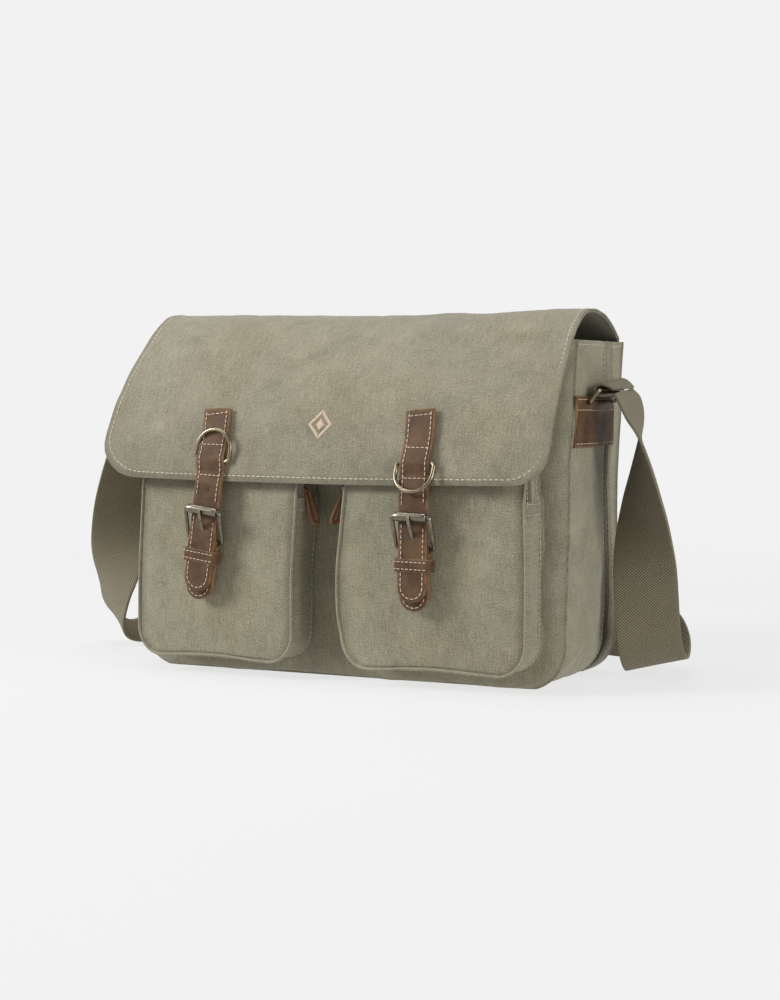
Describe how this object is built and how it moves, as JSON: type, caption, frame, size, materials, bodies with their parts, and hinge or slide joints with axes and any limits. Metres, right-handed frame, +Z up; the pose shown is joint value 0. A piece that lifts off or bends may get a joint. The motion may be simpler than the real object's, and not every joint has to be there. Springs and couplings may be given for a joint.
{
  "type": "messenger bag",
  "caption": "Canvas messenger bag with a full flap, buckled leather closing straps over zipped front pockets, an expansion zip and a webbing shoulder strap.",
  "frame": {"origin": "centre of the bag's base, on the floor, midway between the side seams", "axes": "+X towards the viewer's right along the bag's width, -Y out of the front, +Z up"},
  "size_m": [0.5458, 0.2769, 0.295],
  "materials": {
    "canvas": "washed cotton canvas, grey-olive, mottled",
    "lining": "plain-weave cotton lining",
    "zip_tape": "woven polyester tape with coil zip",
    "webbing": "coarse cotton webbing, olive-brown",
    "leather": "dark brown waxed leather with cream stitching and tan edges",
    "antique_metal": "antiqued brass, worn",
    "board": "plain stiffening board"
  },
  "bodies": {
    "bag": {"front_panel": "canvas", "back_panel": "canvas", "front_gusset": "canvas", "rear_gusset": "canvas", "expansion_zip_tape": "zip_tape", "lining": "lining", "base_board": "board", "left_pocket_front": "canvas", "left_pocket_gusset": "canvas", "left_pocket_zip_tape": "zip_tape", "left_pocket_zip_tabs": "canvas", "left_snap_socket": "antique_metal", "left_side_patch": "leather", "left_side_ring": "antique_metal", "left_strap_end": "webbing", "right_pocket_front": "canvas", "right_pocket_gusset": "canvas", "right_pocket_zip_tape": "zip_tape", "right_pocket_zip_tabs": "canvas", "right_snap_socket": "antique_metal", "right_side_patch": "leather", "right_side_ring": "antique_metal", "right_strap_end": "webbing"},
    "flap_top": {"flap_top_canvas": "canvas", "flap_top_lining": "lining"},
    "flap_front": {"flap_front_canvas": "canvas", "flap_front_lining": "lining", "left_strap_top": "leather", "right_strap_top": "leather"},
    "left_front_ring": {"left_front_ring": "antique_metal"},
    "left_closure": {"left_closure_strap": "leather", "left_under_tab": "leather", "left_buckle_frame": "antique_metal", "left_keeper": "leather", "left_snap_stud": "antique_metal"},
    "left_roller": {"left_buckle_roller": "antique_metal"},
    "left_prong": {"left_buckle_prong": "antique_metal"},
    "left_zip_slider": {"left_zip_slider": "antique_metal"},
    "left_zip_pull": {"left_zip_pull": "leather"},
    "right_front_ring": {"right_front_ring": "antique_metal"},
    "right_closure": {"right_closure_strap": "leather", "right_under_tab": "leather", "right_buckle_frame": "antique_metal", "right_keeper": "leather", "right_snap_stud": "antique_metal"},
    "right_roller": {"right_buckle_roller": "antique_metal"},
    "right_prong": {"right_buckle_prong": "antique_metal"},
    "right_zip_slider": {"right_zip_slider": "antique_metal"},
    "right_zip_pull": {"right_zip_pull": "leather"},
    "expansion_slider": {"expansion_slider": "antique_metal"},
    "expansion_pull": {"expansion_pull": "leather"},
    "shoulder_strap": {"shoulder_strap": "webbing"},
    "strap_adjuster": {"strap_adjuster": "antique_metal"}
  },
  "joints": [
    {"name": "flap_hinge", "type": "hinge", "parent": "bag", "child": "flap_top", "pos_m": [0, 0.0605, 0.273], "axis": [-1, 0, 0], "range_deg": [0, 190]},
    {"name": "flap_fold", "type": "hinge", "parent": "flap_top", "child": "flap_front", "pos_m": [0, -0.0454, 0.27185], "axis": [-1, 0, 0], "range_deg": [0, 105]},
    {"name": "left_ring_swing", "type": "hinge", "parent": "flap_front", "child": "left_front_ring", "pos_m": [-0.093, -0.11145, 0.17584], "axis": [0.9903, -0.0367, -0.1342], "range_deg": [0, 150]},
    {"name": "left_closure_lift", "type": "hinge", "parent": "flap_front", "child": "left_closure", "pos_m": [-0.09481, -0.1169, 0.14713], "axis": [-0.9903, 0, 0.1392], "range_deg": [0, 80]},
    {"name": "left_roller_spin", "type": "hinge", "parent": "left_closure", "child": "left_roller", "pos_m": [-0.09648, -0.1206, 0.13524], "axis": [0.9903, 0, -0.1392], "continuous": true},
    {"name": "left_prong_lift", "type": "hinge", "parent": "left_closure", "child": "left_prong", "pos_m": [-0.09996, -0.1102, 0.11049], "axis": [0.9903, 0, -0.1392], "range_deg": [0, 12]},
    {"name": "left_zip_slide", "type": "slide", "parent": "bag", "child": "left_zip_slider", "axis": [0, 0, 1], "range_m": [0, 0.012]},
    {"name": "left_zip_pull_swing", "type": "hinge", "parent": "left_zip_slider", "child": "left_zip_pull", "pos_m": [-0.0194, -0.089, 0.1535], "axis": [0, -1, 0], "range_deg": [0, 35]},
    {"name": "right_ring_swing", "type": "hinge", "parent": "flap_front", "child": "right_front_ring", "pos_m": [0.087, -0.11145, 0.17584], "axis": [0.9998, -0.0046, -0.0168], "range_deg": [-161, 0]},
    {"name": "right_closure_lift", "type": "hinge", "parent": "flap_front", "child": "right_closure", "pos_m": [0.08677, -0.1169, 0.147], "axis": [-0.9998, 0, 0.0175], "range_deg": [0, 80]},
    {"name": "right_roller_spin", "type": "hinge", "parent": "right_closure", "child": "right_roller", "pos_m": [0.08656, -0.1206, 0.135], "axis": [0.9998, 0, -0.0175], "continuous": true},
    {"name": "right_prong_lift", "type": "hinge", "parent": "right_closure", "child": "right_prong", "pos_m": [0.08613, -0.1102, 0.11001], "axis": [0.9998, 0, -0.0175], "range_deg": [0, 12]},
    {"name": "right_zip_slide", "type": "slide", "parent": "bag", "child": "right_zip_slider", "axis": [0, 0, 1], "range_m": [0, 0.012]},
    {"name": "right_zip_pull_swing", "type": "hinge", "parent": "right_zip_slider", "child": "right_zip_pull", "pos_m": [0.0159, -0.089, 0.1535], "axis": [0, -1, 0], "range_deg": [-35, 0]},
    {"name": "expansion_slide", "type": "slide", "parent": "bag", "child": "expansion_slider", "axis": [0, 0, -1], "range_m": [0, 0.12]},
    {"name": "expansion_pull_swing", "type": "hinge", "parent": "expansion_slider", "child": "expansion_pull", "pos_m": [-0.1946, 0.031, 0.1745], "axis": [0, 1, 0], "range_deg": [0, 60]},
    {"name": "shoulder_strap_swing", "type": "hinge", "parent": "bag", "child": "shoulder_strap", "pos_m": [0, 0, 0.23], "axis": [-1, 0, 0], "range_deg": [-145, 0]},
    {"name": "adjuster_slide", "type": "slide", "parent": "shoulder_strap", "child": "strap_adjuster", "axis": [1, 0, 0], "range_m": [-0.03, 0.03]}
  ],
  "couplings": [
    {"joint": "flap_fold", "follows": "flap_hinge", "ratio": 0.55}
  ]
}
